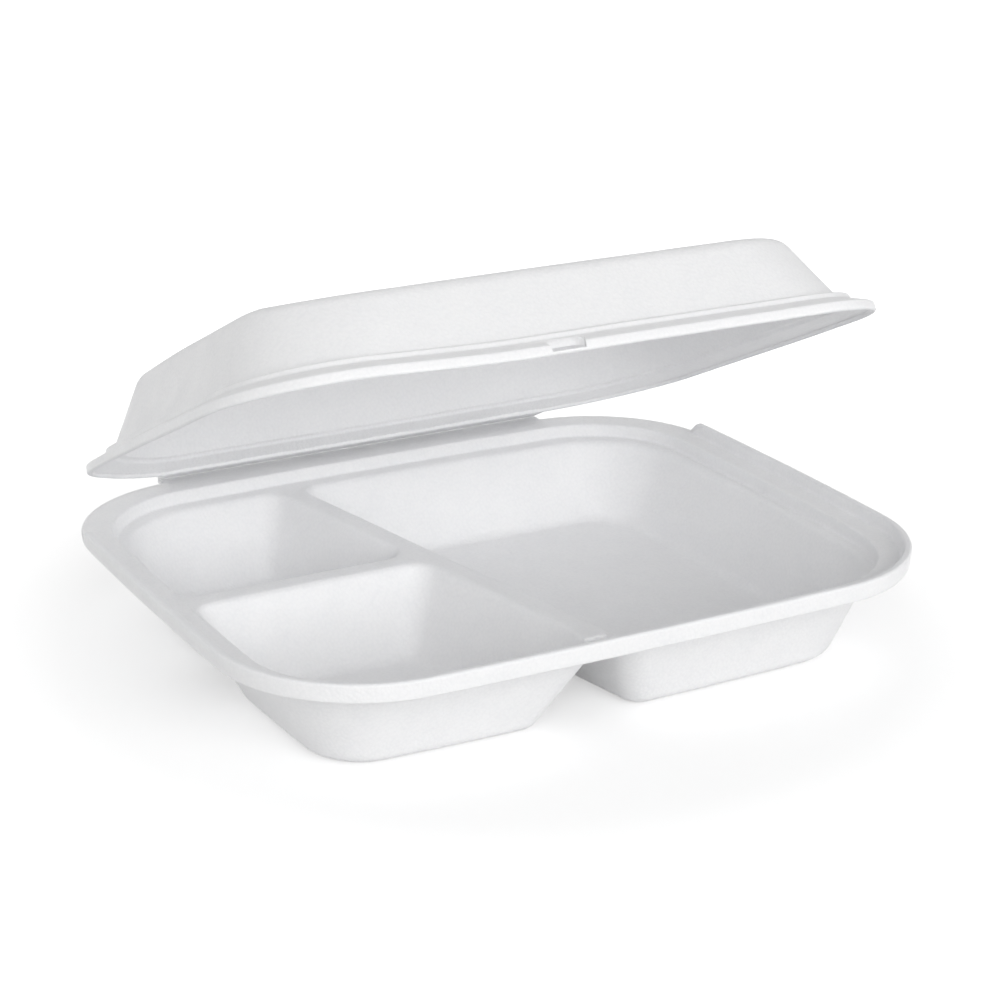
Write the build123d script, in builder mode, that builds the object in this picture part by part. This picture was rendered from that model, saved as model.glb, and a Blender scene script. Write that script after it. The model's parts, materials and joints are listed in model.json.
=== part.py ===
from build123d import *
from math import cos, radians, sin
import os

# Hinged food box pressed from one sheet of foamed polystyrene.
# Millimetres. X runs along the hinge, the latch side faces -Y, the hinge is at +Y.
# The origin is on the table, under the middle of the box.

# Sheet and outline
sheet = 2.2
box_width = 240.0
box_depth = 206.0
side_bow = 2.5
rim_corner = 48.0
base_height = 37.5

# Stepped rim of the base, from the outline inwards
lip_height = 4.2
lip_lean = 0.8
ledge_width = 7.2
step_height = 4.3
step_lean = 1.0
rim_round = 0.9
lip_gap_depth = 44.0
lip_end_slope = 4.0

# Wells, from the mouth at the shoulder below the rim down to the floor
mouth_inset = 15.0
mouth_back_inset = 17.6
mouth_corner = rim_corner - 15.04
wall_run = 12.5
floor_corner = mouth_corner - 15.45
ridge_corner_top = 7.0
ridge_corner_floor = 5.5
floor_round = 4.5
mouth_round = 2.6

# Ridges between the wells, hollow underneath
main_ridge_back_x = -0.148 * box_width
main_ridge_front_x = -0.017 * box_width
cross_ridge_y = 0.015 * box_depth
ridge_top_half = 4.2

# Lid: its rim lies inside the base's lip, on the ledge
nest_gap = 1.3
rest_gap = 0.3
lid_height = 29.5
lid_lip_height = 3.2
lid_lip_lean = 0.4
lid_rim_width = 6.6
lid_rim_rise = 2.4
lid_foot_rise = 1.8
lid_foot_lean = 0.5
lid_shoulder = 2.0
dome_run = 10.5
dome_foot_corner = rim_corner - 9.6
dome_top_corner = dome_foot_corner - 2.4
dome_round = 7.0
open_angle = 25.0

# Living hinge: the sheet is pressed thin along a straight band behind both rims
hinge_length = 150.0
hinge_web = 0.9
hinge_land = 2.4
hinge_gap = 0.3

# Latch: a slot through the lid's rim and lip, and the low tongue on the base that enters it
latch_x = -0.065 * box_width
slot_width = 12.5
slot_depth = 6.2
slot_start = -1.0
slot_bridge = 1.0
tongue_width = 7.5
tongue_thick = 1.7
tongue_gap = 0.6
tongue_rise = 2.8
tongue_round = 0.6

# Base: places worked out from the sizes above
ledge_z = base_height - lip_height
shoulder_z = ledge_z - step_height
pod_top_z = shoulder_z - sheet
lip_inset = sheet + 0.4
ledge_inset = lip_inset + lip_lean
step_inset = ledge_inset + ledge_width
shoulder_inset = step_inset + step_lean
wall_skin = sheet * (1 + (wall_run / (shoulder_z - sheet)) ** 2) ** 0.5

# Lid: places with the box closed, and the frame that turns it open about the hinge
hinge_y = box_depth / 2
hinge_z = ledge_z + rest_gap / 2
lid_inset = ledge_inset + nest_gap
lid_edge_z = ledge_z + rest_gap
lid_rim_z = lid_edge_z + lid_lip_height
lid_foot_z = lid_rim_z + lid_rim_rise
lid_shoulder_z = lid_foot_z + lid_foot_rise
lid_top_z = lid_edge_z + lid_height
dome_slope = dome_run / (lid_top_z - lid_shoulder_z)
dome_skin = sheet * (1 + dome_slope**2) ** 0.5
rim_slope = lid_rim_rise / lid_rim_width
rim_skin = sheet * (1 + rim_slope**2) ** 0.5
turn_cos = cos(radians(open_angle))
turn_sin = sin(radians(open_angle))
lid_frame = Plane(
    origin=(
        0,
        hinge_y - hinge_y * turn_cos - hinge_z * turn_sin,
        hinge_z + hinge_y * turn_sin - hinge_z * turn_cos,
    ),
    x_dir=(1, 0, 0),
    z_dir=(0, turn_sin, turn_cos),
)
lid_up = Axis(lid_frame.origin, lid_frame.z_dir)

# The main ridge runs from front to back, a little aslant
main_ridge = Plane(
    origin=(main_ridge_front_x, -box_depth / 2 + mouth_inset, 0),
    x_dir=(main_ridge_back_x - main_ridge_front_x, box_depth - mouth_inset - mouth_back_inset, 0),
    z_dir=(0, 0, 1),
)

os.makedirs("parts", exist_ok=True)


def outline(plane, inset, corner, back_inset=None):
    """Bowed rectangle with round corners, drawn in from the box's outline."""
    right = box_width / 2 - inset
    front = -box_depth / 2 + inset
    back = box_depth / 2 - hinge_land - (inset if back_inset is None else back_inset)
    middle = (front + back) / 2
    front_left = (-right + side_bow, front + side_bow)
    front_right = (right - side_bow, front + side_bow)
    back_right = (right - side_bow, back - side_bow)
    back_left = (-right + side_bow, back - side_bow)
    with BuildSketch(plane) as section:
        with BuildLine():
            ThreePointArc(front_left, (0, front), front_right)
            ThreePointArc(front_right, (right, middle), back_right)
            ThreePointArc(back_right, (0, back), back_left)
            ThreePointArc(back_left, (-right, middle), front_left)
        make_face()
        fillet(section.vertices(), corner)
    return section.sketch


def ring(frame, low_z, low_inset, high_z, high_inset):
    """Two outlines one above the other, with corners that follow the rim's."""
    return [
        outline(frame.offset(low_z), low_inset, rim_corner - low_inset),
        outline(frame.offset(high_z), high_inset, rim_corner - high_inset),
    ]


def well_section(z, skin, right_of_main, behind_cross):
    """Section of one well at height z, grown outwards by skin."""
    share = (shoulder_z - z) / (shoulder_z - sheet)
    inset = mouth_inset + wall_run * share - skin
    back_inset = mouth_back_inset + wall_run * share - skin
    corner = mouth_corner + (floor_corner - mouth_corner) * share + skin
    half_ridge = ridge_top_half + wall_run * share - skin
    ridge_corner = ridge_corner_top + (ridge_corner_floor - ridge_corner_top) * share + skin
    across = -main_ridge.y_dir if right_of_main else main_ridge.y_dir
    ridge_face = Plane(origin=main_ridge.origin + across * half_ridge, z_dir=across)
    with BuildSketch(Plane.XY.offset(z)) as section:
        add(outline(Plane.XY, inset, corner, back_inset))
        split(bisect_by=ridge_face, keep=Keep.TOP)
        if not right_of_main:
            side = 1 if behind_cross else -1
            cross_face = Plane(origin=(0, cross_ridge_y + side * half_ridge, 0), z_dir=(0, side, 0))
            split(bisect_by=cross_face, keep=Keep.TOP)
        fillet(section.edges().filter_by(GeomType.LINE).vertices(), ridge_corner)
    return section.sketch


def flat_edges(shape, axis, z):
    """Edges of a shape that lie flat at height z along an axis."""
    return shape.edges().filter_by_position(axis, z - 0.01, z + 0.01)


# Sections of the base
wells = [(True, False), (False, True), (False, False)]
pods = [[well_section(z, wall_skin, *well) for z in (0, pod_top_z)] for well in wells]
hollows = [[well_section(z, 0, *well) for z in (sheet, shoulder_z)] for well in wells]
outer_step = ring(Plane.XY, pod_top_z, shoulder_inset - sheet, ledge_z - sheet, step_inset - sheet)
outer_lip = ring(Plane.XY, ledge_z - sheet, lip_lean, base_height, 0)
inner_step = ring(Plane.XY, shoulder_z, shoulder_inset, ledge_z, step_inset)
inner_lip = ring(Plane.XY, ledge_z, ledge_inset, base_height, lip_inset)

# The three hollows, each with a rounded floor edge
well_hollows = []
for sections in hollows:
    with BuildPart() as well_hollow:
        loft(sections, ruled=True)
        fillet(well_hollow.faces().sort_by(Axis.Z)[0].edges(), floor_round)
    well_hollows.append(well_hollow.part)

# Base: pods, shoulder and lip from outside, then hollowed from above
with BuildPart() as base:
    for sections in pods:
        loft(sections, ruled=True)
    fillet(base.faces().group_by(Axis.Z)[0].edges(), floor_round + sheet)
    loft(outer_step, ruled=True)
    loft(outer_lip, ruled=True)
    loft(inner_lip, ruled=True, mode=Mode.SUBTRACT)
    loft(inner_step, ruled=True, mode=Mode.SUBTRACT)
    for well_hollow_part in well_hollows:
        add(well_hollow_part, mode=Mode.SUBTRACT)

    # Rounded mouths and ridge tops, then the edges of the rim
    shoulder = base.faces().filter_by_position(Axis.Z, shoulder_z - 0.01, shoulder_z + 0.01)[0]
    fillet([edge for mouth in shoulder.inner_wires() for edge in mouth.edges()], mouth_round)
    for z in (base_height, ledge_z, ledge_z - sheet, pod_top_z, shoulder_z):
        fillet(flat_edges(base, Axis.Z, z), rim_round)

    # The lip stops short of the hinge side
    with BuildSketch(Plane.YZ) as lip_gap:
        with BuildLine():
            Polyline(
                (hinge_y - lip_gap_depth - lip_end_slope, base_height + rest_gap),
                (hinge_y - lip_gap_depth, ledge_z),
                (hinge_y, ledge_z),
                (hinge_y, base_height + rest_gap),
                close=True,
            )
        make_face()
    extrude(amount=box_width / 2, both=True, mode=Mode.SUBTRACT)

    # Thin half of the hinge behind the ledge
    with BuildSketch(Plane.XY.offset(ledge_z)) as base_web:
        with Locations((0, hinge_y - hinge_gap / 2)):
            Rectangle(hinge_length, hinge_land + side_bow + ledge_width / 2, align=(Align.CENTER, Align.MAX))
    extrude(amount=-hinge_web)

    # Tongue of the latch, standing on the ledge
    tongue_y = -box_depth / 2 + lid_inset + sheet + tongue_gap
    with BuildSketch(Plane.XY.offset(ledge_z)) as tongue:
        with Locations((latch_x, tongue_y)):
            Rectangle(tongue_width, tongue_thick, align=(Align.CENTER, Align.MIN))
    extrude(amount=tongue_rise)
    fillet(flat_edges(base, Axis.Z, ledge_z + tongue_rise), tongue_round)

# Sections of the lid
lid_lip = ring(lid_frame, lid_edge_z, lid_inset, lid_rim_z, lid_inset + lid_lip_lean)
rim_end = lid_inset + lid_lip_lean + lid_rim_width
lid_rim = ring(lid_frame, lid_rim_z, lid_inset + lid_lip_lean, lid_foot_z, rim_end)
lid_foot = ring(lid_frame, lid_foot_z, rim_end, lid_shoulder_z, rim_end + lid_foot_lean)
under_rim_z = lid_rim_z + rim_slope * (sheet - lid_lip_lean) - rim_skin
under_foot_z = under_rim_z + lid_rim_rise
under_shoulder_z = lid_shoulder_z - sheet
inner_lid_lip = ring(lid_frame, lid_edge_z, lid_inset + sheet, under_rim_z, lid_inset + sheet)
inner_lid_rim = ring(lid_frame, under_rim_z, lid_inset + sheet, under_foot_z, lid_inset + sheet + lid_rim_width)
inner_foot_inset = lid_inset + sheet + lid_rim_width
inner_lid_foot = ring(
    lid_frame, under_foot_z, inner_foot_inset, under_shoulder_z, inner_foot_inset + lid_foot_lean
)
dome_inset = rim_end + lid_foot_lean + lid_shoulder
dome = [
    outline(lid_frame.offset(lid_shoulder_z), dome_inset, dome_foot_corner),
    outline(lid_frame.offset(lid_top_z), dome_inset + dome_run, dome_top_corner),
]
inner_dome = [
    outline(
        lid_frame.offset(under_shoulder_z),
        dome_inset - dome_slope * sheet + dome_skin,
        dome_foot_corner - dome_skin,
    ),
    outline(
        lid_frame.offset(lid_top_z - sheet),
        dome_inset + dome_run - dome_slope * sheet + dome_skin,
        dome_top_corner - dome_skin,
    ),
]

with BuildPart() as dome_hollow:
    loft(inner_dome, ruled=True)
    fillet(dome_hollow.faces().sort_by(lid_up)[-1].edges(), dome_round - sheet)

# Lid: the stepped rim and the dome, hollowed from below
with BuildPart() as lid:
    loft(lid_lip, ruled=True)
    loft(lid_rim, ruled=True)
    loft(lid_foot, ruled=True)
    loft(dome, ruled=True)
    fillet(lid.faces().sort_by(lid_up)[-1].edges(), dome_round)
    loft(inner_lid_lip, ruled=True, mode=Mode.SUBTRACT)
    loft(inner_lid_rim, ruled=True, mode=Mode.SUBTRACT)
    loft(inner_lid_foot, ruled=True, mode=Mode.SUBTRACT)
    add(dome_hollow.part, mode=Mode.SUBTRACT)
    for z in (lid_shoulder_z, lid_foot_z, lid_rim_z, under_shoulder_z, under_foot_z, lid_edge_z):
        fillet(flat_edges(lid, lid_up, z), rim_round)

    # Thin half of the hinge behind the rim
    with BuildSketch(lid_frame.offset(lid_edge_z + hinge_gap)) as lid_web:
        with Locations((0, hinge_y - hinge_gap / 2)):
            Rectangle(hinge_length, hinge_land + lid_inset + side_bow * 2, align=(Align.CENTER, Align.MAX))
        add(outline(Plane.XY, lid_inset + sheet / 2, rim_corner - lid_inset - sheet / 2), mode=Mode.SUBTRACT)
    extrude(amount=hinge_web)

    # Slot of the latch, right through the rim and the upper part of the lip
    slot_y = -box_depth / 2 + lid_inset + slot_start + slot_depth / 2
    with BuildSketch(lid_frame.offset(lid_edge_z + slot_bridge)) as slot:
        with Locations((latch_x, slot_y)):
            SlotOverall(slot_width, slot_depth)
    extrude(amount=lid_height / 2, mode=Mode.SUBTRACT)

base.part.label = "base"
export_step(base.part, "parts/base.step")
lid.part.label = "lid"
export_step(lid.part, "parts/lid.step")
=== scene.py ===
import json
import math

import bmesh
import bpy
from mathutils import Matrix, Vector, noise


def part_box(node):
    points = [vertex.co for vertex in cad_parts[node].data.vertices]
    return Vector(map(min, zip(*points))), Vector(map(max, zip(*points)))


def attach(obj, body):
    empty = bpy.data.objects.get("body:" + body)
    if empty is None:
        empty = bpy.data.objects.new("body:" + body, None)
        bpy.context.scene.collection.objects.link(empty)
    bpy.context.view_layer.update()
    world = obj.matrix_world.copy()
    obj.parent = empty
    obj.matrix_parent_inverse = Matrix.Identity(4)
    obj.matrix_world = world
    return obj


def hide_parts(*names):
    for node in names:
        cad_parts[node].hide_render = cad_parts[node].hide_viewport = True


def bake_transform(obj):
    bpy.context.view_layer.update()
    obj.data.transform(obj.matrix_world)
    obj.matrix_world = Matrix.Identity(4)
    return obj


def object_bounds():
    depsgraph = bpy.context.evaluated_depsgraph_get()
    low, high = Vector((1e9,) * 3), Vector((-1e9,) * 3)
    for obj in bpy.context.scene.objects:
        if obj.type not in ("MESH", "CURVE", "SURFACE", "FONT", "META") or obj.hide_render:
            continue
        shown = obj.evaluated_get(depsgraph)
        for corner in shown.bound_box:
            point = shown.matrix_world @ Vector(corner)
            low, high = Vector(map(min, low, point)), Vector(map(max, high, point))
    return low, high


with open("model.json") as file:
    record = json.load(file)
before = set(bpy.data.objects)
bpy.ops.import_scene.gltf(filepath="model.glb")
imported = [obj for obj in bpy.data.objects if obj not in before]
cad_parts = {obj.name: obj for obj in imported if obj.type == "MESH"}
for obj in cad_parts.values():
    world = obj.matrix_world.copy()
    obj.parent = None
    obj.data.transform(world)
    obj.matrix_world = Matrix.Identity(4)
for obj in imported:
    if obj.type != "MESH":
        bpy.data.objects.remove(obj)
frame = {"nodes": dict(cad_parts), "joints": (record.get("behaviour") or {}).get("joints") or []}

bl_info = {
    "name": "Foam clamshell container",
    "version": (1, 0, 0),
    "blender": (4, 5, 0),
    "location": "3D View > Sidebar > Meal box",
    "description": "Dresses a hinged food box pressed from one sheet of white foam",
    "category": "Object",
}

CAD_BOX = [list(corner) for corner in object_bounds()]
HINGE = frame["joints"][0]
PIVOT = Vector(HINGE["pos_m"])
OPEN_ANGLE = -math.radians(HINGE["range_deg"][0])
LID_UP = Vector((0, math.sin(OPEN_ANGLE), math.cos(OPEN_ANGLE)))
LID_FORWARD = Vector((0, -math.cos(OPEN_ANGLE), math.sin(OPEN_ANGLE)))

# Foam: patterns per metre or per cell, and the depths of its relief in metres
CLOUDS_PER_METRE = 95.0
WAVES_PER_METRE = 26.0
GRAINS_PER_CELL = 2.6
WAVE_DEPTH = 0.0012
CELL_DEPTH = 0.00022
GRAIN_DEPTH = 0.00006

# How the pressed sheet strays: drifts per metre, and where it is held
WANDER_SEED = 5
SLOW_DRIFT = 17.0
QUICK_DRIFT = 41.0
QUICK_SHIFT = Vector((3, 5, 7))
FLOOR_HOLD = 0.012
HINGE_HOLD = 0.02

# How the lid's left end has sprung up: half lengths along the hinge, and depths
HINGE_END = 0.076
LID_END = 0.116
LIFT_SPREAD = 0.056
LIFT_DEPTH = 0.17
TOP_ROOM = 0.009

# Merging and the trimmed edges
SAME_POINT = 2e-6
EDGE_BAND = 0.0004
HINGE_DEPTH = 0.008
HINGE_HALF = 0.08


# Sizes and colours that a user would change


class FoamSheet(bpy.types.PropertyGroup):
    """The pressed foam sheet that the base and the lid are made of."""

    colour: bpy.props.FloatVectorProperty(
        name="Foam colour",
        description="Colour of the skin of the foam, linear",
        subtype="COLOR",
        size=3,
        min=0.0,
        max=1.0,
        default=(0.968, 0.968, 0.974),
    )
    seam_colour: bpy.props.FloatVectorProperty(
        name="Cell wall colour",
        description="Colour between the cells of the foam and on its trimmed edges, linear",
        subtype="COLOR",
        size=3,
        min=0.0,
        max=1.0,
        default=(0.915, 0.918, 0.932),
    )
    cell_size: bpy.props.FloatProperty(
        name="Cell size",
        description="Width of one cell of the foam under the skin",
        subtype="DISTANCE",
        unit="LENGTH",
        default=0.0011,
    )
    roughness: bpy.props.FloatProperty(
        name="Roughness",
        description="How dull the skin of the foam is",
        subtype="FACTOR",
        min=0.0,
        max=1.0,
        default=0.46,
    )
    wander: bpy.props.FloatProperty(
        name="Wander",
        description="How far the sheet strays from its true form after it left the press",
        subtype="DISTANCE",
        unit="LENGTH",
        default=0.00028,
    )
    corner_lift: bpy.props.FloatProperty(
        name="Corner lift",
        description="How far the lid's left end has sprung up from the plane of its rim",
        subtype="DISTANCE",
        unit="LENGTH",
        default=0.003,
    )
    longest_edge: bpy.props.FloatProperty(
        name="Longest edge",
        description="Edges of the mesh longer than this are divided",
        subtype="DISTANCE",
        unit="LENGTH",
        default=0.012,
    )
    crease_angle: bpy.props.FloatProperty(
        name="Crease angle",
        description="Edges bent more than this stay sharp",
        subtype="ANGLE",
        unit="ROTATION",
        default=math.radians(38),
    )


class HingeBand(bpy.types.PropertyGroup):
    """The band of thin sheet that joins the lid to the base."""

    length: bpy.props.FloatProperty(
        name="Length",
        description="Length of the band along the hinge",
        subtype="DISTANCE",
        unit="LENGTH",
        default=0.1504,
    )
    thickness: bpy.props.FloatProperty(
        name="Thickness",
        description="Thickness of the pressed band",
        subtype="DISTANCE",
        unit="LENGTH",
        default=0.0011,
    )
    fold_radius: bpy.props.FloatProperty(
        name="Fold radius",
        description="Radius of the band's outer side where it folds",
        subtype="DISTANCE",
        unit="LENGTH",
        default=0.00115,
    )
    reach: bpy.props.FloatProperty(
        name="Reach on the base",
        description="How far the band runs from the fold into the base's rim",
        subtype="DISTANCE",
        unit="LENGTH",
        default=0.0046,
    )
    lid_reach: bpy.props.FloatProperty(
        name="Reach on the lid",
        description="How far the band runs from the fold to the lip of the lid",
        subtype="DISTANCE",
        unit="LENGTH",
        default=0.0081,
    )
    tuck: bpy.props.FloatProperty(
        name="Tuck",
        description="How far the ends of the band sink into the sheets",
        subtype="DISTANCE",
        unit="LENGTH",
        default=0.00023,
    )


class StudioLook(bpy.types.PropertyGroup):
    """The camera and the light of the picture."""

    camera_place: bpy.props.FloatVectorProperty(
        name="Camera place",
        description="Where the camera stands",
        subtype="TRANSLATION",
        unit="LENGTH",
        size=3,
        default=(-0.3666, -0.6803, 0.3254),
    )
    camera_turn: bpy.props.FloatProperty(
        name="Camera turn",
        description="Turn of the view about the upright, from looking along +Y",
        subtype="ANGLE",
        unit="ROTATION",
        default=math.radians(-28.6),
    )
    camera_height: bpy.props.FloatProperty(
        name="Camera height",
        description="Angle at which the camera looks down",
        subtype="ANGLE",
        unit="ROTATION",
        default=math.radians(19.9),
    )
    focal_length: bpy.props.FloatProperty(
        name="Focal length",
        description="Focal length in millimetres for a sensor 36 mm wide",
        default=90.62,
    )
    key_power: bpy.props.FloatProperty(
        name="Key power",
        description="Power of the high lamp in front, in watts, which the other lamps follow",
        default=8.8,
    )
    horizon_strength: bpy.props.FloatProperty(
        name="Horizon strength",
        description="Strength of the soft light from the sides of the room",
        default=0.8,
    )
    sky_strength: bpy.props.FloatProperty(
        name="Sky strength",
        description="Strength of the soft light from overhead",
        default=0.33,
    )


# Materials


def fill(sockets, values):
    """Set a shader's own sockets by name."""
    for socket, value in values.items():
        sockets[socket].default_value = value


def maths(nodes, operation, second=None):
    """A Math node, with its second value set where one is given."""
    node = nodes.new("ShaderNodeMath")
    node.operation = operation
    if second is not None:
        node.inputs[1].default_value = second
    return node


def ranged(nodes, source, target):
    """A Map Range node that takes one pair of values to another."""
    node = nodes.new("ShaderNodeMapRange")
    fill(
        node.inputs,
        {"From Min": source[0], "From Max": source[1], "To Min": target[0], "To Max": target[1]},
    )
    return node


def cloudy(nodes, links, place, scale, detail, roughness):
    """A Noise texture laid on the object's own coordinates."""
    node = nodes.new("ShaderNodeTexNoise")
    fill(node.inputs, {"Scale": scale, "Detail": detail, "Roughness": roughness})
    links.new(place.outputs["Object"], node.inputs["Vector"])
    return node


def relief(nodes, links, height, strength, depth, below=None):
    """A Bump node for a height, laid over the relief below it."""
    node = nodes.new("ShaderNodeBump")
    fill(node.inputs, {"Strength": strength, "Distance": depth})
    links.new(height, node.inputs["Height"])
    if below is not None:
        links.new(below.outputs["Normal"], node.inputs["Normal"])
    return node


def foam_material(look):
    """White foamed sheet: a closed, slightly waxy skin over small cells."""
    material = bpy.data.materials.new("foam_skin")
    material.use_nodes = True
    nodes, links = material.node_tree.nodes, material.node_tree.links
    shader = nodes["Principled BSDF"]
    place = nodes.new("ShaderNodeTexCoord")

    # Cells pressed flat under the skin, and fine grain
    cells = nodes.new("ShaderNodeTexVoronoi")
    fill(cells.inputs, {"Scale": 1 / look.cell_size, "Randomness": 1.0})
    links.new(place.outputs["Object"], cells.inputs["Vector"])
    grain = cloudy(nodes, links, place, GRAINS_PER_CELL / look.cell_size, 3.0, 0.6)

    # Clouds of denser and looser foam, and long waves left by the press
    clouds = cloudy(nodes, links, place, CLOUDS_PER_METRE, 4.0, 0.55)
    waves = cloudy(nodes, links, place, WAVES_PER_METRE, 2.0, 0.4)

    # Colour: cell walls and clouds a shade darker
    cell_share = ranged(nodes, (0.3, 0.8), (0.0, 0.8))
    links.new(cells.outputs["Distance"], cell_share.inputs["Value"])
    cloud_share = ranged(nodes, (0.35, 0.7), (0.0, 0.45))
    links.new(clouds.outputs["Fac"], cloud_share.inputs["Value"])
    share = maths(nodes, "MULTIPLY_ADD", 0.7)
    links.new(cell_share.outputs["Result"], share.inputs[0])
    links.new(cloud_share.outputs["Result"], share.inputs[2])

    # Trimmed edges: open cells, a shade darker
    edge = nodes.new("ShaderNodeAttribute")
    edge.attribute_name = "cut"
    edge_share = maths(nodes, "MULTIPLY_ADD", 0.6)
    links.new(edge.outputs["Fac"], edge_share.inputs[0])
    links.new(share.outputs["Value"], edge_share.inputs[2])
    colour = nodes.new("ShaderNodeMix")
    colour.data_type = "RGBA"
    colour.inputs["A"].default_value = (*look.colour, 1.0)
    colour.inputs["B"].default_value = (*look.seam_colour, 1.0)
    links.new(edge_share.outputs["Value"], colour.inputs["Factor"])
    links.new(colour.outputs["Result"], shader.inputs["Base Color"])

    # Gloss: duller where the foam is looser and on the trimmed edges
    gloss = ranged(nodes, (0.3, 0.7), (look.roughness - 0.05, look.roughness + 0.12))
    links.new(clouds.outputs["Fac"], gloss.inputs["Value"])
    edge_gloss = maths(nodes, "MULTIPLY_ADD", 0.2)
    links.new(edge.outputs["Fac"], edge_gloss.inputs[0])
    links.new(gloss.outputs["Result"], edge_gloss.inputs[2])
    links.new(edge_gloss.outputs["Value"], shader.inputs["Roughness"])

    # Relief: waves, then cells, then grain
    wave_relief = relief(nodes, links, waves.outputs["Fac"], 0.5, WAVE_DEPTH)
    cell_relief = relief(nodes, links, cells.outputs["Distance"], 0.5, CELL_DEPTH, wave_relief)
    cell_relief.invert = True
    grain_relief = relief(nodes, links, grain.outputs["Fac"], 0.3, GRAIN_DEPTH, cell_relief)
    links.new(grain_relief.outputs["Normal"], shader.inputs["Normal"])

    fill(
        shader.inputs,
        {
            "IOR": 1.5,
            "Specular IOR Level": 0.42,
            "Subsurface Weight": 0.15,
            "Subsurface Radius": (1.0, 1.0, 1.0),
            "Subsurface Scale": 0.002,
        },
    )
    return material


def foam():
    """The one foam material of the box."""
    return bpy.data.materials.get("foam_skin") or foam_material(bpy.context.scene.foam_sheet)


def floor_material(colour, near_glow, far_glow):
    """Pale floor that the camera sees as white, with the box's shadow near the middle, deepened there
    by a weaker glow that is painted shade.
    """
    material = bpy.data.materials.new("pale_floor")
    material.use_nodes = True
    nodes, links = material.node_tree.nodes, material.node_tree.links
    nodes.remove(nodes["Principled BSDF"])
    plain = nodes.new("ShaderNodeBsdfDiffuse")
    plain.inputs["Color"].default_value = (*colour, 1.0)
    seen = nodes.new("ShaderNodeEmission")
    seen.inputs["Color"].default_value = (1.0, 1.0, 1.0, 1.0)

    # The glow grows with the distance from the box: the weaker glow near the box is painted shade round
    # its shadow
    place = nodes.new("ShaderNodeTexCoord")
    distance = nodes.new("ShaderNodeVectorMath")
    distance.operation = "LENGTH"
    links.new(place.outputs["Object"], distance.inputs[0])
    glow = ranged(nodes, (0.14, 0.34), (near_glow, far_glow))
    links.new(distance.outputs["Value"], glow.inputs["Value"])

    # It shows to the camera, straight or through a reflection, and lights nothing
    rays = nodes.new("ShaderNodeLightPath")
    camera_or_glossy = maths(nodes, "MAXIMUM")
    links.new(rays.outputs["Is Camera Ray"], camera_or_glossy.inputs[0])
    links.new(rays.outputs["Is Glossy Ray"], camera_or_glossy.inputs[1])
    any_of_these = maths(nodes, "MAXIMUM")
    links.new(camera_or_glossy.outputs["Value"], any_of_these.inputs[0])
    links.new(rays.outputs["Is Transmission Ray"], any_of_these.inputs[1])
    amount = maths(nodes, "MULTIPLY")
    links.new(any_of_these.outputs["Value"], amount.inputs[0])
    links.new(glow.outputs["Result"], amount.inputs[1])
    links.new(amount.outputs["Value"], seen.inputs["Strength"])

    both = nodes.new("ShaderNodeAddShader")
    links.new(plain.outputs["BSDF"], both.inputs[0])
    links.new(seen.outputs["Emission"], both.inputs[1])
    links.new(both.outputs["Shader"], nodes["Material Output"].inputs["Surface"])
    return material


# Shapes


def new_piece(name, bm):
    """Make an object of a finished bmesh and give it the foam."""
    mesh = bpy.data.meshes.new(name)
    bm.to_mesh(mesh)
    bm.free()
    piece = bpy.data.objects.new(name, mesh)
    bpy.context.scene.collection.objects.link(piece)
    mesh.materials.append(foam())
    return piece


def even_out(piece, crease_angle):
    """Smooth shading with flat walls kept flat and real creases kept sharp."""
    piece.data.shade_smooth()
    piece.data.set_sharp_from_angle(angle=crease_angle)
    weighted = piece.modifiers.new("flat_walls", "WEIGHTED_NORMAL")
    weighted.mode = "FACE_AREA"
    weighted.weight = 50
    weighted.keep_sharp = True


def held(value):
    """A share kept between none and all."""
    return min(1.0, max(0.0, value))


def wandered(place, amount, low, high):
    """A point of the sheet after it has strayed a little, never outside the node's own box."""
    slow = noise.noise_vector(place * SLOW_DRIFT) * 0.7
    quick = noise.noise_vector(place * QUICK_DRIFT + QUICK_SHIFT) * 0.3
    drift = slow + quick
    drift.z *= held(place.z / FLOOR_HOLD)
    from_hinge = (place - Vector((place.x, PIVOT.y, PIVOT.z))).length
    moved = place + drift * amount * held(from_hinge / HINGE_HOLD)
    return Vector([min(max(moved[i], low[i]), high[i]) for i in range(3)])


def sprung(place, amount, top):
    """A point of the lid after its left end has sprung up, most at the front and not at the hinge."""
    front = held((PIVOT.y - place.y) / LIFT_DEPTH)
    start = HINGE_END - LIFT_SPREAD * front
    side = held((-start - place.x) / (LID_END - start))
    share = side * side * (3 - 2 * side) * (0.7 + 0.3 * front)
    return place + LID_UP * amount * share * held((top - place.z) / TOP_ROOM)


def mark_cut_edges(bm, height_of):
    """Give the trimmed edges of the sheet, where its cells lie open, the attribute "cut"."""
    cut = bm.verts.layers.float.new("cut")
    heights = {vert: height_of(vert.co) for vert in bm.verts}
    top = max(heights.values())
    for vert, height in heights.items():
        at_hinge = abs(vert.co.y - PIVOT.y) <= HINGE_DEPTH and abs(vert.co.x) <= HINGE_HALF
        vert[cut] = 1.0 if height > top - EDGE_BAND and not at_hinge else 0.0


def merged_copy(node, longest_edge):
    """Copy a CAD node as one merged skin and divide its long edges."""
    bm = bmesh.new()
    bm.from_mesh(frame["nodes"][node].data)
    bmesh.ops.remove_doubles(bm, verts=bm.verts, dist=SAME_POINT)
    bmesh.ops.dissolve_degenerate(bm, dist=SAME_POINT, edges=bm.edges)
    for _ in range(3):
        long_edges = [edge for edge in bm.edges if edge.calc_length() > longest_edge]
        if not long_edges:
            break
        bmesh.ops.subdivide_edges(bm, edges=long_edges, cuts=1)
        bmesh.ops.triangulate(bm, faces=[face for face in bm.faces if len(face.verts) > 3])
    return bm


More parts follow.
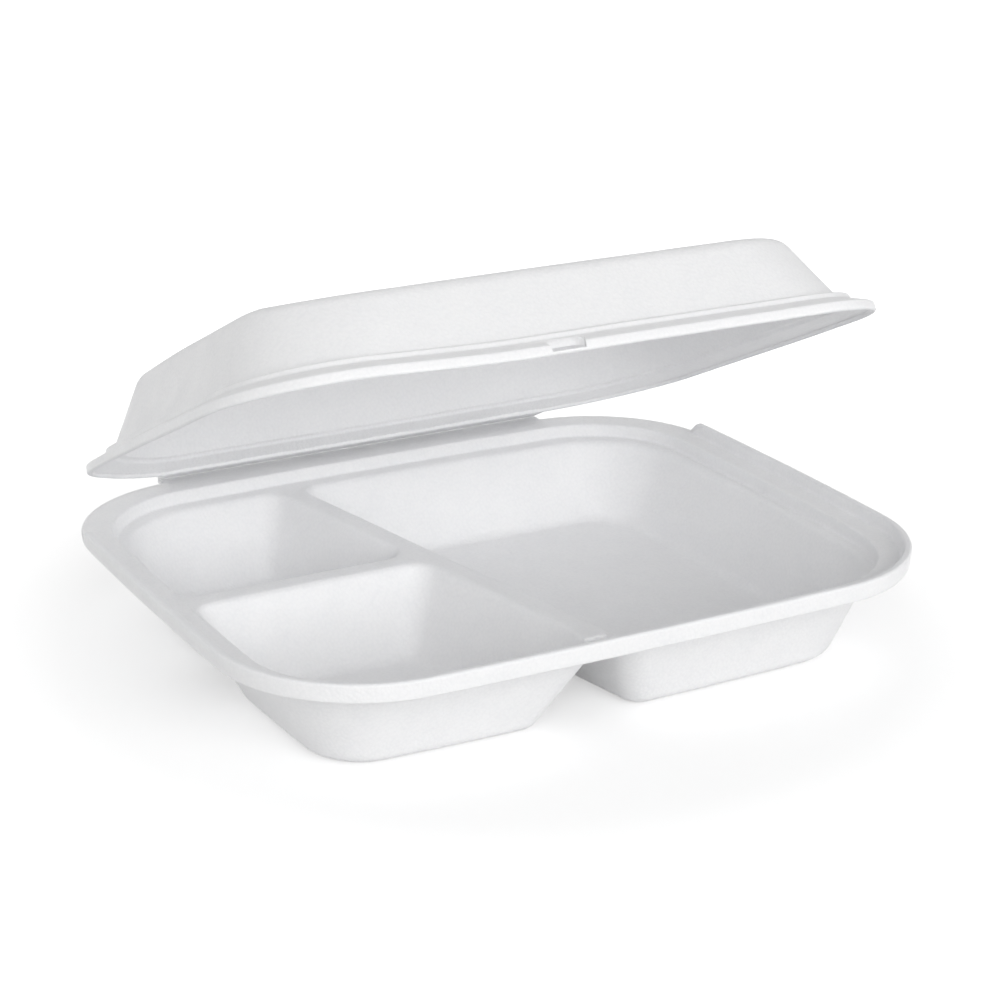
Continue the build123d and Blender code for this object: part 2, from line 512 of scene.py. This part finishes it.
def dress(node, name, bm):
    """Let the sheet stray, smooth it, and set it in the place of its CAD node."""
    look = bpy.context.scene.foam_sheet
    noise.seed_set(WANDER_SEED)
    low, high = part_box(node)
    for vert in bm.verts:
        vert.co = wandered(vert.co, look.wander, low, high)
    piece = new_piece(name, bm)
    even_out(piece, look.crease_angle)
    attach(piece, node)
    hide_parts(node)


def drawn_out(bm, edges, step):
    """Draw a row of edges out by a step and give the new row."""
    drawn = bmesh.ops.extrude_edge_only(bm, edges=edges)["geom"]
    verts = [item for item in drawn if isinstance(item, bmesh.types.BMVert)]
    bmesh.ops.translate(bm, verts=verts, vec=step)
    return [item for item in drawn if isinstance(item, bmesh.types.BMEdge)]


# Stage


def add_floor(scene):
    """A wide pale floor under the box."""
    bm = bmesh.new()
    bmesh.ops.create_grid(bm, x_segments=8, y_segments=8, size=4.0)
    mesh = bpy.data.meshes.new("floor")
    bm.to_mesh(mesh)
    bm.free()
    mesh.materials.append(floor_material((0.78, 0.78, 0.78), 0.42, 1.0))
    floor = bpy.data.objects.new("floor", mesh)
    scene.collection.objects.link(floor)


def add_room(scene, look):
    """Soft light from all round, stronger from the sides, with white behind the box."""
    world = bpy.data.worlds.new("white_room")
    world.use_nodes = True
    scene.world = world
    nodes, links = world.node_tree.nodes, world.node_tree.links
    even = nodes["Background"]
    even.inputs["Color"].default_value = (1.0, 1.0, 1.0, 1.0)
    place = nodes.new("ShaderNodeTexCoord")
    height = nodes.new("ShaderNodeSeparateXYZ")
    links.new(place.outputs["Generated"], height.inputs["Vector"])
    level = ranged(nodes, (0.25, 0.75), (look.horizon_strength, look.sky_strength))
    level.interpolation_type = "SMOOTHSTEP"
    links.new(height.outputs["Z"], level.inputs["Value"])
    links.new(level.outputs["Result"], even.inputs["Strength"])
    white = nodes.new("ShaderNodeBackground")
    fill(white.inputs, {"Color": (1.0, 1.0, 1.0, 1.0), "Strength": 1.0})
    rays = nodes.new("ShaderNodeLightPath")
    mix = nodes.new("ShaderNodeMixShader")
    links.new(rays.outputs["Is Camera Ray"], mix.inputs["Fac"])
    links.new(even.outputs["Background"], mix.inputs[1])
    links.new(white.outputs["Background"], mix.inputs[2])
    links.new(mix.outputs["Shader"], nodes["World Output"].inputs["Surface"])


def add_lamps(scene, key_power):
    """Two wide lamps in front and one over the back, all turned to the box."""
    target = Vector((0.0, 0.0, 0.03))
    for name, place, width, power in (
        ("low_lamp", Vector((0.1, -1.7, 0.5)), (2.0, 0.5), key_power * 0.9),
        ("high_lamp", Vector((-0.3, -1.6, 1.0)), (2.0, 0.5), key_power),
        ("back_lamp", Vector((-0.2, 1.0, 1.6)), (2.0, 1.2), key_power * 0.6),
    ):
        lamp = bpy.data.lights.new(name, "AREA")
        lamp.shape = "RECTANGLE"
        lamp.size, lamp.size_y = width
        lamp.energy = power
        holder = bpy.data.objects.new(name, lamp)
        holder.location = place
        holder.rotation_euler = (target - place).to_track_quat("-Z", "Y").to_euler()
        scene.collection.objects.link(holder)


def add_camera(scene, look):
    """The camera of the picture."""
    turn, height = look.camera_turn, look.camera_height
    level = math.cos(height)
    back = Vector((math.sin(turn) * level, -math.cos(turn) * level, math.sin(height)))
    right = Vector((math.cos(turn), math.sin(turn), 0))
    view = Matrix((right, back.cross(right), back)).transposed()
    camera = bpy.data.cameras.new("camera")
    camera.sensor_width = 36.0
    camera.lens = look.focal_length
    camera.clip_start = 0.01
    camera.clip_end = 30.0
    holder = bpy.data.objects.new("camera", camera)
    holder.matrix_world = Matrix.Translation(Vector(look.camera_place)) @ view.to_4x4()
    scene.collection.objects.link(holder)
    scene.camera = holder


# Operators


class CLAMSHELL_OT_base(bpy.types.Operator):
    """Dress the base: three wells, hollow ridges and the stepped rim"""

    bl_idname = "clamshell.base"
    bl_label = "Base"

    def execute(self, context):
        bm = merged_copy("base", context.scene.foam_sheet.longest_edge)
        mark_cut_edges(bm, lambda place: place.z)
        dress("base", "foam_base", bm)
        return {"FINISHED"}


class CLAMSHELL_OT_lid(bpy.types.Operator):
    """Dress the lid: the dome, its rim, the latch slot and the end that has sprung up"""

    bl_idname = "clamshell.lid"
    bl_label = "Lid"

    def execute(self, context):
        look = context.scene.foam_sheet
        bm = merged_copy("lid", look.longest_edge)
        mark_cut_edges(bm, lambda place: -(place - PIVOT).dot(LID_UP))
        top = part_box("lid")[1][2]
        for vert in bm.verts:
            vert.co = sprung(vert.co, look.corner_lift, top)
        dress("lid", "foam_lid", bm)
        return {"FINISHED"}


class CLAMSHELL_OT_hinge(bpy.types.Operator):
    """Fold the thin band that runs from the base's rim round to the lid's"""

    bl_idname = "clamshell.hinge"
    bl_label = "Hinge band"

    def execute(self, context):
        sizes = context.scene.hinge_band
        parts = 60
        bm = bmesh.new()
        start = PIVOT - Vector((sizes.length / 2, sizes.reach, sizes.fold_radius + sizes.tuck))
        row = [bm.verts.new(start + Vector((sizes.length * i / parts, 0, 0))) for i in range(parts + 1)]
        edges = [bm.edges.new(pair) for pair in zip(row, row[1:])]

        # Straight under the base's rim, round the fold, and straight along the lid's
        edges = drawn_out(bm, edges, Vector((0, sizes.reach, sizes.tuck)))
        fold = bmesh.ops.spin(
            bm,
            geom=edges,
            cent=PIVOT,
            axis=(1, 0, 0),
            angle=math.pi - OPEN_ANGLE,
            steps=12,
        )["geom_last"]
        edges = [item for item in fold if isinstance(item, bmesh.types.BMEdge)]
        drawn_out(bm, edges, LID_FORWARD * sizes.lid_reach + LID_UP * sizes.tuck)

        # Faces outwards, then the sheet's thickness, inside the box of the CAD
        bmesh.ops.remove_doubles(bm, verts=bm.verts, dist=1e-6)
        bmesh.ops.recalc_face_normals(bm, faces=bm.faces)
        if sum(face.normal.dot(face.calc_center_median() - PIVOT) for face in bm.faces) < 0:
            bmesh.ops.reverse_faces(bm, faces=bm.faces)
        bmesh.ops.solidify(bm, geom=bm.faces[:], thickness=sizes.thickness)
        bmesh.ops.recalc_face_normals(bm, faces=bm.faces)
        for vert in bm.verts:
            vert.co.y = min(vert.co.y, CAD_BOX[1][1])

        # The same order of points and faces in each run
        order = Vector((1.0, 0.37, 0.11))
        bm.verts.sort(key=lambda vert: vert.co.dot(order))
        bm.faces.sort(key=lambda face: face.calc_center_median().dot(order))
        piece = new_piece("hinge_band", bm)
        even_out(piece, context.scene.foam_sheet.crease_angle)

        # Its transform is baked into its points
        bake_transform(piece)
        return {"FINISHED"}


class CLAMSHELL_OT_stage(bpy.types.Operator):
    """Set up the pale floor, the soft light and the camera"""

    bl_idname = "clamshell.stage"
    bl_label = "Stage"

    def execute(self, context):
        scene = context.scene
        look = scene.studio_look
        scene.view_settings.view_transform = "Standard"
        add_floor(scene)
        add_room(scene, look)
        add_lamps(scene, look.key_power)
        add_camera(scene, look)
        return {"FINISHED"}


class CLAMSHELL_PT_panel(bpy.types.Panel):
    """The steps and the sizes of the meal box"""

    bl_idname = "CLAMSHELL_PT_panel"
    bl_label = "Meal box"
    bl_space_type = "VIEW_3D"
    bl_region_type = "UI"
    bl_category = "Meal box"

    def draw(self, context):
        column = self.layout.column()
        for operator in STEPS:
            column.operator(operator.bl_idname)
        for group in (context.scene.foam_sheet, context.scene.hinge_band, context.scene.studio_look):
            shown = self.layout.box()
            for name in group.__annotations__:
                shown.prop(group, name)


STEPS = (CLAMSHELL_OT_stage, CLAMSHELL_OT_base, CLAMSHELL_OT_lid, CLAMSHELL_OT_hinge)
GROUPS = (FoamSheet, HingeBand, StudioLook)


def register():
    for item in (*GROUPS, *STEPS, CLAMSHELL_PT_panel):
        bpy.utils.register_class(item)
    bpy.types.Scene.foam_sheet = bpy.props.PointerProperty(type=FoamSheet)
    bpy.types.Scene.hinge_band = bpy.props.PointerProperty(type=HingeBand)
    bpy.types.Scene.studio_look = bpy.props.PointerProperty(type=StudioLook)


def unregister():
    del bpy.types.Scene.studio_look
    del bpy.types.Scene.hinge_band
    del bpy.types.Scene.foam_sheet
    for item in reversed((*GROUPS, *STEPS, CLAMSHELL_PT_panel)):
        bpy.utils.unregister_class(item)


def main():
    """Make the whole box."""
    register()
    bpy.ops.clamshell.stage()
    bpy.ops.clamshell.base()
    bpy.ops.clamshell.lid()
    bpy.ops.clamshell.hinge()


if __name__ == "__main__":
    main()
